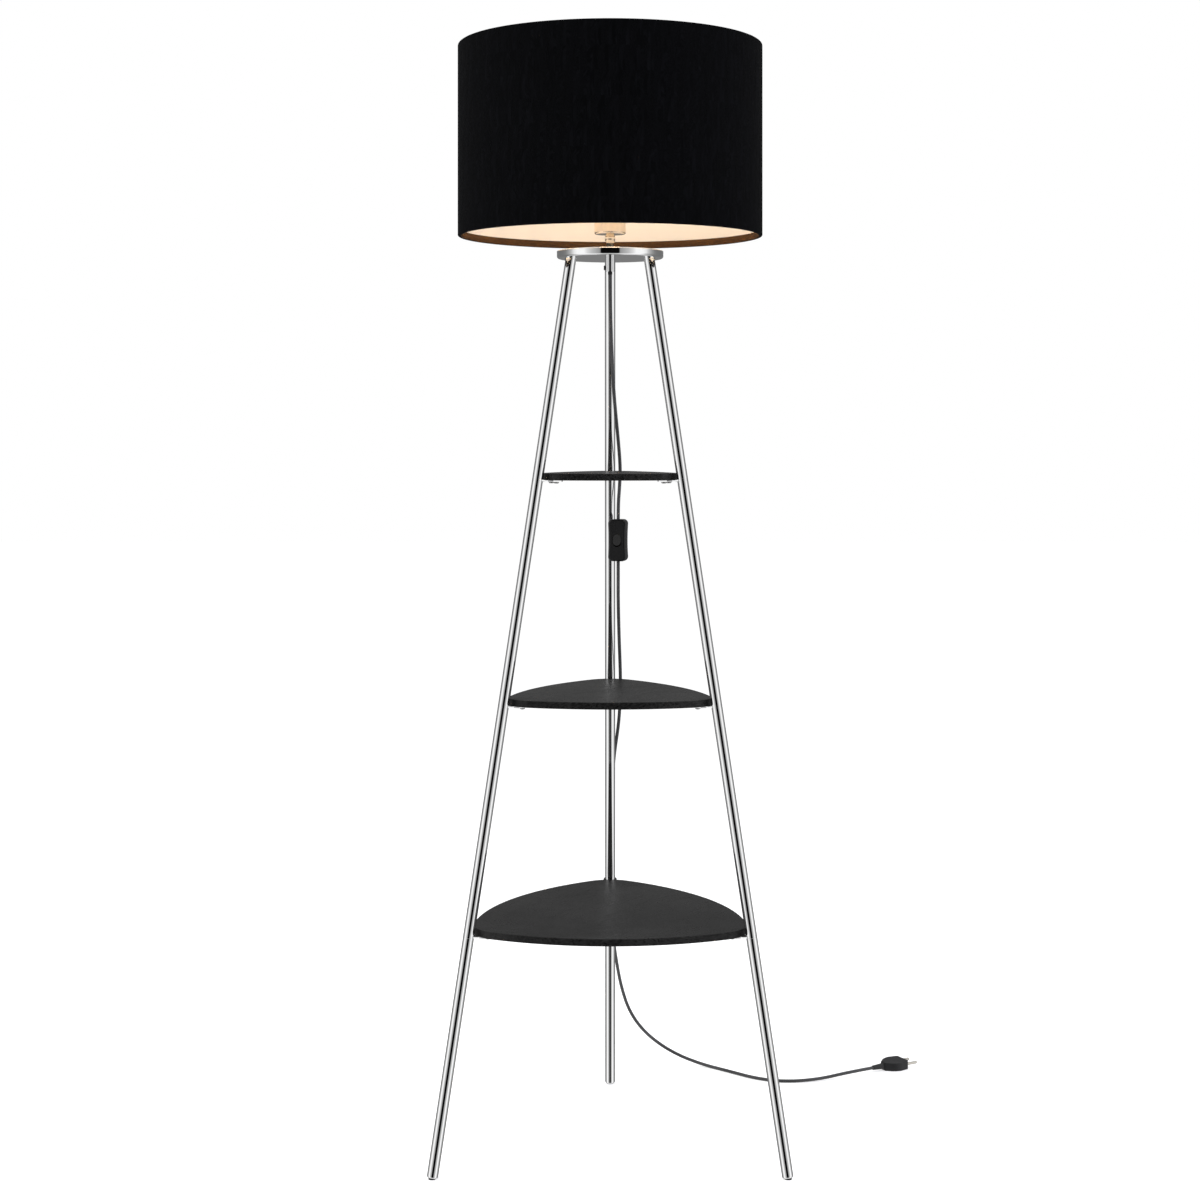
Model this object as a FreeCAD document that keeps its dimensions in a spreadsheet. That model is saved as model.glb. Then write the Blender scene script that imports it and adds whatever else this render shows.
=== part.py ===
import FreeCAD, Part
import math
import os
import re

import Sketcher
from FreeCAD import Placement, Rotation, Vector

# Shelf floor lamp: a tripod of leaning tubes carries three bulged triangular shelves and a round
# head plate, and a drum shade stands on the lampholder above the plate. Millimetres, +Z up, the
# floor at z = 0, the back leg towards +Y. The lamp's upright axis stands axis_setback in front of
# the origin, which is the middle of the footprint box.

# name, value, meaning. A value that starts with = is worked out from the cells above it.
DIMENSIONS = [
    ("axis_setback", "32.18", "lamp axis in front of the middle of the footprint"),
    ("foot_spread", "258", "leg axis to lamp axis, at the floor"),
    ("head_spread", "58.5", "leg axis to lamp axis, at the plate's underside"),
    ("plate_base", "1165", "height of the plate's underside"),
    ("lean_tan", "=(foot_spread - head_spread) / plate_base", "tangent of the leg's lean"),
    ("lean_cos", "=1 / sqrt(1 + lean_tan * lean_tan)", "cosine of the leg's lean"),
    ("lean_sin", "=lean_tan * lean_cos", "sine of the leg's lean"),
    ("leg_reach", "=plate_base / lean_cos", "floor to plate, along the leg"),
    ("tube_radius", "7.1", "leg tube, outside"),
    ("tube_wall", "1.2", "leg tube's wall"),
    ("plug_length", "16", "threaded plug welded into each tube end"),
    ("stud_radius", "4", "stud that joins two tube sections"),
    ("stud_length", "28", "length of that stud"),
    ("fit_gap", "0.05", "radial play of parts that screw or push together"),
    ("seam_round", "0.4", "rounding of a tube end at a seam"),
    ("foot_round", "2.5", "rounding of a tube end at the floor"),
    ("glide_lift", "1.5", "floor to tube end, along the leg"),
    ("glide_radius", "4.6", "flange of the glide under a leg"),
    ("glide_stem", "3.6", "radius of the glide's stem"),
    ("bolt_radius", "3", "bolt from the plate into a leg"),
    ("bolt_head", "4.8", "radius of that bolt's head"),
    ("bolt_bite", "18", "depth of the bolt in the leg"),
    ("shelf_height", "306.5", "top of the bottom shelf"),
    ("shelf_pitch", "288.7", "from one shelf to the next"),
    ("shelf_board", "9", "thickness of a shelf"),
    ("shelf_bow", "330", "radius of a shelf's bowed side"),
    ("corner_width", "52", "width of a shelf's rounded corner"),
    ("corner_gap", "3", "rounded corner to tube"),
    ("board_round", "1.2", "rounding of a shelf's top edge"),
    ("tab_sheet", "2", "sheet of the shelf bracket"),
    ("tab_bend", "9", "leg axis to the bend of the bracket"),
    ("tab_reach", "33", "leg axis to the bracket's inner end"),
    ("tab_neck", "6.2", "half the width of the bracket's neck"),
    ("tab_half", "11.5", "half the width of the bracket's plate"),
    ("seam_drop", "=tab_sheet - tab_bend * lean_tan", "shelf's underside to the seam below it"),
    ("screw_inset", "24", "leg axis to the shelf screws"),
    ("screw_side", "6.5", "shelf screws to either side"),
    ("screw_shank", "1.7", "radius of a shelf screw"),
    ("screw_bite", "7", "depth of the screw in the shelf"),
    ("plate_radius", "70", "head plate"),
    ("plate_board", "10", "thickness of the head plate"),
    ("pipe_radius", "5", "hollow threaded pipe"),
    ("pipe_bore", "3.6", "bore of that pipe"),
    ("grip_base", "1148", "height of the cord grip's lower end"),
    ("grip_length", "15.9", "length of the cord grip"),
    ("grip_radius", "6.5", "cord grip, outside"),
    ("bush_length", "8", "length of the bush in the grip"),
    ("bush_radius", "4.2", "radius of that bush"),
    ("bush_drop", "4", "how far the bush stands out below the grip"),
    ("grip_screw_up", "5", "height of the set screw on the grip"),
    ("cord_radius", "2.3", "mains cord"),
    ("collar_height", "11", "round collar under the lampholder"),
    ("cup_base", "1197", "height of the cup's underside"),
    ("cup_radius", "20.8", "lampholder cup"),
    ("cup_height", "36", "height of that cup"),
    ("sleeve_radius", "19.3", "threaded sleeve of the lampholder"),
    ("nut_radius", "25.5", "shade nut"),
    ("nut_height", "6", "height of a shade nut"),
    ("hub_sheet", "1.6", "sheet of the shade carrier's hub"),
    ("hub_radius", "32", "hub of the shade carrier"),
    ("shade_base", "1194", "height of the shade's lower edge"),
    ("shade_height", "250", "height of the shade"),
    ("shade_radius", "200", "shade, outside"),
    ("fabric_wall", "0.9", "thickness of the fabric"),
    ("lining_wall", "0.9", "thickness of the lining"),
    ("hoop_wire", "1.45", "radius of the shade's hoop wire"),
    ("hem_height", "9.5", "height of the turned-in hem"),
    ("hem_depth", "5.7", "from the shade's outside to the hem's inside"),
    ("arm_radius", "1.7", "radius of the carrier's arms"),
    ("bulb_radius", "30", "bulb's globe"),
    ("bulb_wall", "1", "thickness of the bulb's glass"),
    ("switch_x", "11", "inline switch, right of the lamp axis"),
    ("switch_y", "96.5", "inline switch, behind the lamp axis"),
    ("switch_z", "789.5", "height of the inline switch"),
    ("switch_yaw", "-12", "turn of the switch about the cord"),
    ("switch_half", "12.5", "half the switch's width"),
    ("switch_long", "28.5", "half the switch's length"),
    ("switch_deep", "9", "half the switch's depth"),
    ("switch_wall", "2", "wall of the switch"),
    ("cord_bore", "3.5", "how far the cord goes into the switch"),
    ("rocker_tilt", "-7", "rocker at rest, one side pressed"),
    ("pivot_depth", "4.5", "rocker pivot behind the middle of the switch"),
    ("pivot_radius", "1", "rocker's trunnion"),
    ("clip_seat", "305", "floor to the middle of the cord clip, along the leg"),
    ("clip_width", "9", "cord clip, along the leg"),
    ("clip_cord", "12.3", "tube's axis to cord's axis in the clip"),
    ("plug_height", "6.5", "plug's axis above the floor"),
    ("pin_radius", "2", "plug pin"),
    ("pin_pitch", "18.6", "distance between the plug pins"),
]

LEGS = {"back": 90, "left": 210, "right": 330}   # azimuth of each leg
SHELVES = ["bottom", "middle", "top"]

# The cord's route, from the lamp axis and the floor. It hangs from the grip, leans back past the
# top shelf's edge to the switch, runs down past the middle shelf, goes behind the back leg
# through its clip and then out over the floor to the plug.
UPPER_ROUTE = [
    (0, 0, 1144), (0, 0, 1120), (0.8, 4, 1086), (2.2, 21, 1037), (5.5, 48.5, 981), (11, 82, 926),
    (14.2, 106, 886), (12.6, 102.8, 858), (11, 96.5, 838), (11, 96.5, 814.5),
]
LOWER_ROUTE = [
    (11, 96.5, 764.5), (11, 96.5, 740), (11, 106.5, 704), (12.5, 132, 648), (14.5, 154, 598),
    (14, 158.5, 560), (11.5, 174.5, 524), (6, 188, 486), (2.5, 198, 440), (0, 206.5, 380),
    (0, 214.6, 326.3), (0, 223.1, 276.6), (2.5, 237, 227), (8.5, 260, 178), (16, 290, 130),
    (29, 320, 84), (54, 341, 46), (92, 350, 17), (134, 341.5, 2.4), (174, 307, 2.4),
    (212, 271.5, 2.4), (254, 257.5, 2.4), (302, 266.5, 3.4), (345, 288, 6.5), (384, 310, 6.5),
]

doc = FreeCAD.newDocument("ShelfLamp")
dims = doc.addObject("Spreadsheet::Sheet", "Dims")
for row, (name, value, meaning) in enumerate(DIMENSIONS, start=1):
    dims.set("A%d" % row, meaning)
    dims.set("B%d" % row, value)
    dims.setAlias("B%d" % row, name)
doc.recompute()
NAMES = {name for name, value, meaning in DIMENSIONS}
parts = {}


def bound(text):
    """The text with each dimension's name turned into a reference to its cell."""
    return re.sub(r"[a-z_]+", lambda word: ("Dims." if word.group() in NAMES else "") + word.group(),
                  str(text))


def size(text):
    """The present value of an expression in the dimensions' names."""
    return float(dims.evalExpression(bound(text)))


# ---- places -----------------------------------------------------------------------------------

def on_axis(height, turn=0):
    """A piece on the lamp's upright axis."""
    return Placement(Vector(0, -size("axis_setback"), size(height)), Rotation(turn, 0, 0))


def on_leg(azimuth, distance):
    """A piece in the leg's own frame: +Z up the leg, +X outwards, so far from the floor."""
    lean = math.degrees(math.atan(size("lean_tan")))
    turn = Rotation(Vector(0, 0, 1), azimuth) * Rotation(Vector(0, 1, 0), -lean)
    foot = Rotation(Vector(0, 0, 1), azimuth) * Vector(size("foot_spread"), 0, 0)
    start = foot + turn * Vector(0, 0, size(distance))
    return Placement(start - Vector(0, size("axis_setback"), 0), turn)


def seam_text(level):
    """Distance along the leg from the floor to the seam under a shelf."""
    return "(shelf_height + %d * shelf_pitch - shelf_board - seam_drop) / lean_cos" % level


# ---- sketches ---------------------------------------------------------------------------------

def new_body(label, place):
    body = doc.addObject("PartDesign::Body", label)
    body.Label = label
    body.Placement = place
    return body


def new_sketch(body, role, lift=None):
    """A sketch on one of the body's own origin planes."""
    sketch = body.newObject("Sketcher::SketchObject", body.Name + "_sketch")
    plane = next(item for item in body.Origin.OriginFeatures if item.Role == role)
    sketch.AttachmentSupport = [(plane, "")]
    sketch.MapMode = "FlatFace"
    if lift is not None:
        sketch.setExpression("AttachmentOffset.Base.z", bound(lift))
    return sketch


def arc_centre(start, end, radius, bulge):
    """Centre of an arc that bulges to the right (1) or left (-1) of the way from start to end."""
    chord = end - start
    middle = (start + end) * 0.5
    left = Vector(-chord.y, chord.x, 0).normalize()
    depth = math.sqrt(max(radius ** 2 - (chord.Length / 2) ** 2, 0))
    return middle + left * depth * bulge


def draw(sketch, corners, arcs=None):
    """A closed outline through the corners, whose sides are lines, or arcs where arcs says so.

    arcs maps the number of a side's first corner to (radius, bulge)."""
    arcs = arcs or {}
    points = [Vector(size(x), size(y), 0) for x, y in corners]
    ends = []
    for index, start in enumerate(points):
        end = points[(index + 1) % len(points)]
        if index in arcs:
            radius, bulge = arcs[index]
            centre = arc_centre(start, end, size(radius), bulge)
            first, last = (start, end) if bulge > 0 else (end, start)
            angles = [math.atan2(p.y - centre.y, p.x - centre.x) for p in (first, last)]
            circle = Part.Circle(centre, Vector(0, 0, 1), size(radius))
            side = sketch.addGeometry(Part.ArcOfCircle(circle, angles[0], angles[1]), False)
            limit = sketch.addConstraint(Sketcher.Constraint("Radius", side, size(radius)))
            sketch.setExpression("Constraints[%d]" % limit, bound(radius))
            ends.append((side, 1, 2) if bulge > 0 else (side, 2, 1))
        else:
            side = sketch.addGeometry(Part.LineSegment(start, end), False)
            ends.append((side, 1, 2))
    for index, (side, start, end) in enumerate(ends):
        after = ends[(index + 1) % len(ends)]
        sketch.addConstraint(Sketcher.Constraint("Coincident", side, end, after[0], after[1]))
        pin(sketch, side, start, corners[index])
    return sketch


def pin(sketch, side, point, corner):
    """Tie a point of the sketch to its two coordinates."""
    for kind, text in zip(("DistanceX", "DistanceY"), corner):
        limit = sketch.addConstraint(Sketcher.Constraint(kind, -1, 1, side, point, size(text)))
        sketch.setExpression("Constraints[%d]" % limit, bound(text))


def draw_circle(sketch, x, y, radius):
    centre = Vector(size(x), size(y), 0)
    side = sketch.addGeometry(Part.Circle(centre, Vector(0, 0, 1), size(radius)), False)
    limit = sketch.addConstraint(Sketcher.Constraint("Radius", side, size(radius)))
    sketch.setExpression("Constraints[%d]" % limit, bound(radius))
    pin(sketch, side, 3, (x, y))


# ---- features ---------------------------------------------------------------------------------

def revolve(body, sketch):
    feature = body.newObject("PartDesign::Revolution", body.Name + "_turned")
    feature.Profile = sketch
    feature.ReferenceAxis = (sketch, ["V_Axis"])
    feature.Angle = 360
    doc.recompute()
    return feature


def pad(body, sketch, length, symmetric=False, reverse=False):
    feature = body.newObject("PartDesign::Pad", body.Name + "_pad")
    feature.Profile = sketch
    feature.setExpression("Length", bound(length))
    feature.SideType = "Symmetric" if symmetric else "One side"
    feature.Reversed = reverse
    doc.recompute()
    return feature


def pocket(body, sketch, length, symmetric=False, reverse=False):
    """Cut the sketch out of the body, and make sure that it did cut."""
    before = body.Shape.Volume
    feature = body.newObject("PartDesign::Pocket", body.Name + "_cut")
    feature.Profile = sketch
    feature.setExpression("Length", bound(length))
    feature.SideType = "Symmetric" if symmetric else "One side"
    feature.Reversed = reverse
    doc.recompute()
    if body.Shape.Volume > before - 0.01:
        raise RuntimeError("%s: a pocket cuts nothing" % body.Label)
    return feature


def around(body, feature, count):
    """Repeat a feature about the body's Z axis."""
    pattern = body.newObject("PartDesign::PolarPattern", body.Name + "_round")
    pattern.Originals = [feature]
    axis = next(item for item in body.Origin.OriginFeatures if item.Role == "Z_Axis")
    pattern.Axis = (axis, [""])
    pattern.Angle = 360
    pattern.Occurrences = count
    body.Tip = pattern
    doc.recompute()
    return pattern


def soften(body, kind, amount, chosen):
    """A fillet or chamfer on the edges of the body that chosen picks."""
    base = body.Tip
    edges = ["Edge%d" % (n + 1) for n, edge in enumerate(base.Shape.Edges) if chosen(edge)]
    feature = body.newObject("PartDesign::" + kind, body.Name + "_" + kind.lower())
    feature.Base = (base, edges)
    feature.setExpression("Radius" if kind == "Fillet" else "Size", bound(amount))
    doc.recompute()
    return feature


def keep(body):
    """Count a finished piece among the nodes."""
    parts[body.Label] = body
    return body


def turned(label, place, corners, arcs=None):
    """A piece turned about its Z axis from a half outline of (radius, height) corners."""
    body = new_body(label, place)
    revolve(body, draw(new_sketch(body, "XZ_Plane"), corners, arcs))
    return keep(body)


def group(label, pattern, places):
    """One node of several equal pieces, each the pattern's solid at a place of its own."""
    solids = []
    for place in places:
        solid = pattern.Shape.copy()
        solid.Placement = place
        solids.append(solid)
    feature = doc.addObject("Part::Feature", label)
    feature.Label = label
    feature.Shape = Part.makeCompound(solids)
    parts[label] = feature
    return feature


def pattern_body(turned_body):
    """Take a piece back from the nodes: it is only the pattern of a group."""
    parts.pop(turned_body.Label)
    turned_body.Placement = Placement()
    doc.recompute()
    return turned_body


def hexagon(across):
    """Corners of a hexagon, from its width across the flats."""
    return [("%s / sqrt(3) * cos(%d)" % (across, turn), "%s / sqrt(3) * sin(%d)" % (across, turn))
            for turn in range(0, 360, 60)]


# ---- legs -------------------------------------------------------------------------------------

def tube_outline(length, low_bore, high_bore, low_round):
    """Half outline of a tube with a threaded plug welded into each end."""
    inside = "tube_radius - tube_wall"
    return [
        (low_bore, "0"), ("tube_radius - " + low_round, "0"), ("tube_radius", low_round),
        ("tube_radius", length + " - seam_round"), ("tube_radius - seam_round", length),
        (high_bore, length), (high_bore, length + " - plug_length"),
        (inside, length + " - plug_length"), (inside, "plug_length"), (low_bore, "plug_length"),
    ]


def leg_tubes(name, azimuth):
    """The four sections of one leg, from the floor to the plate."""
    stud_hole = "stud_radius + fit_gap"
    seams = [seam_text(level) for level in range(3)]
    starts = ["glide_lift"] + [seam + " + tab_sheet" for seam in seams]
    ends = seams + ["leg_reach"]
    for number, (start, end) in enumerate(zip(starts, ends), start=1):
        length = "(%s - (%s))" % (end, start)
        place = on_leg(azimuth, start)
        label = "leg_%s_tube_%d" % (name, number)
        if number == 1:
            outline = tube_outline(length, "glide_stem + fit_gap", stud_hole, "foot_round")
            turned(label, place, outline, {1: ("foot_round", 1)})
        elif number < 4:
            turned(label, place, tube_outline(length, stud_hole, stud_hole, "seam_round"))
        else:
            long = length.replace("leg_reach", "leg_reach + 3")
            outline = tube_outline(long, stud_hole, "bolt_radius + fit_gap", "seam_round")
            tube = turned(label, place, outline)
            side = "tube_radius + 1"
            mitre = [("-(%s)" % side, "%s + (%s) * lean_tan" % (length, side)),
                     (side, "%s - (%s) * lean_tan" % (length, side)),
                     (side, length + " + 8"), ("-(%s)" % side, length + " + 8")]
            pocket(tube, draw(new_sketch(tube, "XZ_Plane"), mitre), "4 * tube_radius", True)


def leg_hardware():
    """Studs in the seams, bolts into the plate and glides under the feet."""
    tip = "stud_radius - 0.6"
    stud = pattern_body(turned("leg_stud", Placement(), [
        ("0", "-stud_length / 2"), (tip, "-stud_length / 2"), ("stud_radius", "0.6 - stud_length / 2"),
        ("stud_radius", "stud_length / 2 - 0.6"), (tip, "stud_length / 2"), ("0", "stud_length / 2")]))
    group("leg_studs", stud, [on_leg(azimuth, seam_text(level) + " + tab_sheet / 2")
                              for azimuth in LEGS.values() for level in range(3)])

    bolt = pattern_body(turned("leg_bolt", Placement(), [
        ("0", "-bolt_bite"), ("bolt_radius - 0.5", "-bolt_bite"), ("bolt_radius", "0.5 - bolt_bite"),
        ("bolt_radius", "5"), ("bolt_head", "5"), ("bolt_head", "8.4"), ("bolt_head - 0.6", "9"),
        ("0", "9")]))
    socket = draw(new_sketch(bolt, "XY_Plane", "9"), hexagon("5"))
    pocket(bolt, socket, "2.4")
    group("leg_bolts", bolt, [on_leg(azimuth, "leg_reach") for azimuth in LEGS.values()])

    glide = pattern_body(turned("leg_glide", Placement(), [
        ("0", "-6"), ("glide_radius", "-6"), ("glide_radius", "0"), ("glide_stem", "0"),
        ("glide_stem", "10"), ("0", "10")]))
    ground = [("-9", "9 * lean_tan - glide_lift"), ("-9", "-12"), ("9", "-12"),
              ("9", "-9 * lean_tan - glide_lift")]
    pocket(glide, draw(new_sketch(glide, "XZ_Plane"), ground), "4 * tube_radius", True)
    group("leg_glides", glide, [on_leg(azimuth, "glide_lift") for azimuth in LEGS.values()])


# ---- shelves ----------------------------------------------------------------------------------

def shelf(level):
    """A triangular board with bowed sides and rounded corners, one corner against each leg."""
    top = "(shelf_height + %d * shelf_pitch)" % level
    reach = "(foot_spread - %s * lean_tan - tube_radius / lean_cos - corner_gap)" % top
    swing = "((1.7320508 * (%s - corner_width / 8) - corner_width / 2) / 2 / shelf_bow)" % reach
    # the corner's radius that runs on smoothly into the bowed sides
    bend = "(corner_width / 2 / (0.8660254 * sqrt(1 - %s * %s) - 0.5 * %s))" % (swing, swing, swing)
    corner = "(%s - %s + sqrt(%s * %s - corner_width * corner_width / 4))" % (reach, bend, bend, bend)
    body = new_body(SHELVES[level] + "_shelf", on_axis(top + " - shelf_board"))
    corners = []
    for azimuth in LEGS.values():
        for side in ("-", "+"):
            across = "(corner_width / 2)"
            corners.append((
                "%s * cos(%d) %s %s * sin(%d)" % (corner, azimuth, "+" if side == "-" else "-",
                                                 across, azimuth),
                "%s * sin(%d) %s %s * cos(%d)" % (corner, azimuth, side, across, azimuth)))
    bows = {index: ("shelf_bow", 1) for index in (1, 3, 5)}
    bows.update({index: (bend, 1) for index in (0, 2, 4)})
    pad(body, draw(new_sketch(body, "XY_Plane"), corners, bows), "shelf_board")
    soften(body, "Fillet", "board_round",
           lambda edge: edge.BoundBox.ZMin > size("shelf_board") - 0.01)
    seam = "(foot_spread - (%s - shelf_board - seam_drop) * lean_tan - screw_inset)" % top
    holes = new_sketch(body, "XY_Plane")
    for side in ("-", "+"):
        draw_circle(holes, side + "screw_side", seam, "screw_shank + fit_gap")
    cut = pocket(body, holes, "screw_bite + 0.5", reverse=True)
    around(body, cut, 3)
    return keep(body)


def bracket():
    """The sheet bracket that a seam clamps: a ring round the stud, bent level under the shelf."""
    body = new_body("shelf_bracket", Placement())
    rise = "(seam_drop / lean_cos)"
    end_x = "(-tab_reach * lean_cos + %s * lean_sin)"
    end_z = "(tab_reach * lean_sin + %s * lean_cos)"
    low = "(seam_drop - tab_sheet)"
    side = [("0", "0"), ("0", "tab_sheet"), ("(seam_drop - tab_sheet * lean_cos) / lean_sin", "tab_sheet"),
            (end_x % "seam_drop", end_z % "seam_drop"), (end_x % low, end_z % low),
            (low + " / lean_sin", "0")]
    pad(body, draw(new_sketch(body, "XZ_Plane"), side), "2 * tab_half", True)
    disc = new_sketch(body, "XY_Plane")
    draw_circle(disc, "0", "0", "tube_radius")
    pad(body, disc, "tab_sheet")
    plan = [("-sqrt(tube_radius * tube_radius - tab_neck * tab_neck)", "tab_neck"), ("-12", "tab_neck"),
            ("-17", "tab_half"), ("4 - tab_reach", "tab_half"), ("0.3 - tab_reach", "tab_half - 4"),
            ("0.3 - tab_reach", "4 - tab_half"), ("4 - tab_reach", "-tab_half"),
            ("-17", "-tab_half"), ("-12", "-tab_neck"),
            ("-sqrt(tube_radius * tube_radius - tab_neck * tab_neck)", "-tab_neck"),
            ("tube_radius", "0")]
    trim = new_sketch(body, "XY_Plane", "-6")
    draw(trim, plan, {9: ("tube_radius", 1), 10: ("tube_radius", 1)})
    draw(trim, [("-60", "-30"), ("20", "-30"), ("20", "30"), ("-60", "30")])
    pocket(body, trim, "30", reverse=True)
    holes = new_sketch(body, "XY_Plane", "-6")
    draw_circle(holes, "0", "0", "stud_radius + 0.2")
    for way in ("", "-"):
        draw_circle(holes, "-screw_inset * lean_cos", way + "screw_side", "screw_shank + 0.35")
    pocket(body, holes, "30", reverse=True)
    return body


def shelf_hardware():
    places = [on_leg(azimuth, seam_text(level)) for azimuth in LEGS.values() for level in range(3)]
    group("shelf_brackets", bracket(), places)

    shank = "screw_shank"
    screw = pattern_body(turned("shelf_screw", Placement(), [
        ("0", "-2.2"), ("2", "-2.2"), ("3.5", "-1.2"), ("3.6", "0"), (shank, "0"),
        (shank, "tab_sheet + screw_bite - 1.5"), ("0.3", "tab_sheet + screw_bite"),
        ("0", "tab_sheet + screw_bite")], {1: ("2.4", 1)}))
    places = []
    for level in range(3):
        under = size("shelf_height + %d * shelf_pitch - shelf_board" % level)
        out = size("foot_spread - (%f - seam_drop) * lean_tan - screw_inset" % under)
        for azimuth in LEGS.values():
            turn = Rotation(azimuth, 0, 0)
            for side in (-1, 1):
                spot = turn * Vector(out, side * size("screw_side"), 0)
                spot += Vector(0, -size("axis_setback"), under - size("tab_sheet"))
                places.append(Placement(spot, turn))
    group("shelf_screws", screw, places)


# ---- head -------------------------------------------------------------------------------------

def top_plate():
    """The round plate on the legs, drilled along each leg for its bolt."""
    hole = "pipe_radius + fit_gap"
    plate = turned("top_plate", on_axis("plate_base", 90), [
        (hole, "0"), ("plate_radius - 3", "0"), ("plate_radius", "3"), ("plate_radius", "plate_board - 1"),
        ("plate_radius - 1", "plate_board"), (hole, "plate_board")], {1: ("3", 1), 3: ("1", 1)})

    def along(radius, distance):
        """A corner of the drilled hole, from its radius and the distance above the underside."""
        return ("head_spread + (%s) * lean_cos - (%s) * lean_sin" % (radius, distance),
                "(%s) * lean_sin + (%s) * lean_cos" % (radius, distance))

    wide = "bolt_head + 0.3"
    narrow = "bolt_radius + 0.2"
    drill = draw(new_sketch(plate, "XZ_Plane"), [
        along("0", "-3"), along(narrow, "-3"), along(narrow, "5"), along(wide, "5"),
        along(wide, "14"), along("0", "14")])
    axis = [Vector(size(x), size(z), 0) for x, z in (along("0", "-5"), along("0", "16"))]
    drill.addGeometry(Part.LineSegment(axis[0], axis[1]), True)
    before = plate.Shape.Volume
    groove = plate.newObject("PartDesign::Groove", "bolt_hole")
    groove.Profile = drill
    groove.ReferenceAxis = (drill, ["Axis0"])
    groove.Angle = 360
    doc.recompute()
    around(plate, groove, 3)
    if plate.Shape.Volume > before - 3 * 300:
        raise RuntimeError("the plate's bolt holes are missing")


def stem():
    """The threaded pipe through the plate and what is screwed on it."""
    thread = "pipe_radius + fit_gap"
    length = "cup_base + 13 - grip_base - bush_length"
    turned("threaded_pipe", on_axis("grip_base + bush_length"), [
        ("pipe_bore", "0"), ("pipe_radius", "0"), ("pipe_radius", length), ("pipe_bore", length)])
    turned("stem_collar", on_axis("cup_base - collar_height"), [
        (thread, "0"), ("5.4", "0"), ("5.4", "collar_height"), (thread, "collar_height")],
        {1: ("11.5", 1)})
    turned("plate_washer", on_axis("grip_base + grip_length"), [
        (thread, "0"), ("grip_radius", "0"), ("grip_radius", "plate_base - grip_base - grip_length"),
        (thread, "plate_base - grip_base - grip_length")])

    grip = turned("cord_grip", on_axis("grip_base"), [
        ("3", "0"), ("grip_radius - 0.6", "0"), ("grip_radius", "0.6"),
        ("grip_radius", "grip_length - 0.3"), ("grip_radius - 0.3", "grip_length"),
        (thread, "grip_length"), (thread, "bush_length"), ("bush_radius", "bush_length"),
        ("bush_radius", "1"), ("3", "1")])
    side_hole = new_sketch(grip, "YZ_Plane")
    draw_circle(side_hole, "0", "grip_screw_up", "2.05")
    pocket(grip, side_hole, "12")
    turned("cord_bush", on_axis("grip_base - bush_drop"), [
        ("2.2", "0"), ("2.5", "0"), ("2.9", "0.4"), ("2.9", "bush_drop + 1"),
        ("bush_radius - fit_gap", "bush_drop + 1"),
        ("bush_radius - fit_gap", "bush_drop + bush_length"), ("2.2", "bush_drop + bush_length")])
    place = on_axis("grip_base + grip_screw_up")
    place.Rotation = Rotation(Vector(0, 1, 0), -90)
    turned("grip_screw", place, [
        ("0", "bush_radius"), ("2", "bush_radius"), ("2", "grip_radius"), ("3.1", "grip_radius"),
        ("3.1", "grip_radius + 1.4"), ("2.5", "grip_radius + 1.8"), ("0", "grip_radius + 1.8")])


def lampholder():
    """The cup, and the screw-in holder inside it."""
    thread = "pipe_radius + fit_gap"
    base = "cup_base + 4.7"
    insert = "cup_base + 25"
    turned("holder_cup", on_axis("cup_base"), [
        (thread, "0"), ("cup_radius - 2.5", "0"), ("cup_radius", "2.5"), ("cup_radius", "cup_height"),
        ("cup_radius - 1", "cup_height"), ("cup_radius - 1", "3"), ("cup_radius - 2.8", "1.2"),
        (thread, "1.2")], {1: ("2.5", 1)})
    nut = new_body("holder_nut", on_axis("cup_base + 1.2"))
    face = draw(new_sketch(nut, "XY_Plane"), hexagon("14"))
    draw_circle(face, "0", "0", thread)
    pad(nut, face, "3.5")
    keep(nut)
    turned("holder_base", on_axis(base), [
        (thread, "0"), ("8.5", "0"), ("8.5", "4.3"), ("sleeve_radius - 0.2", "4.3"),
        ("sleeve_radius - 0.2", "20.3"), ("2.5", "20.3"), ("2.5", "8.5"), (thread, "8.5")])
    turned("holder_insert", on_axis(insert), [
        ("2.6", "0"), ("17", "0"), ("17", "38"), ("14.2", "38"), ("14.2", "4"), ("2.6", "4")])
    turned("holder_sleeve", on_axis(insert), [
        ("17.2", "0"), ("sleeve_radius", "0"), ("sleeve_radius", "45"), ("sleeve_radius - 1", "46"),
        ("15.6", "46"), ("15.6", "44"), ("17.2", "44")])
    turned("holder_shell", on_axis(insert + " + 4"), [
        ("13.6", "0"), ("14.1", "0"), ("14.1", "30"), ("13.6", "30")])
    turned("holder_contact", on_axis(insert + " + 4"), [
        ("0", "0"), ("4.5", "0"), ("4.5", "1.2"), ("2.5", "1.2"), ("2.5", "4"), ("0", "4")])
    length = "cup_base + 29 - grip_base + bush_drop"
    wire = pattern_body(turned("lead_wire", Placement(), [
        ("0", "0"), ("0.9", "0"), ("0.9", length), ("0", length)]))
    places = []
    for side in (-1.15, 1.15):
        place = on_axis("grip_base - bush_drop")
        place.Base += Vector(side, 0, 0)
        places.append(place)
    group("lead_wires", wire, places)


def shade_nut(label, height):
    """A ring screwed on the lampholder's sleeve, with finger grooves round it."""
    ring = turned(label, on_axis(height), [
        ("sleeve_radius + fit_gap", "0"), ("nut_radius", "0"), ("nut_radius", "nut_height"),
        ("sleeve_radius + fit_gap", "nut_height")])
    groove = new_sketch(ring, "XY_Plane")
    draw_circle(groove, "nut_radius + 1.2", "0", "2.4")
    around(ring, pocket(ring, groove, "nut_height", reverse=True), 12)


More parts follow.
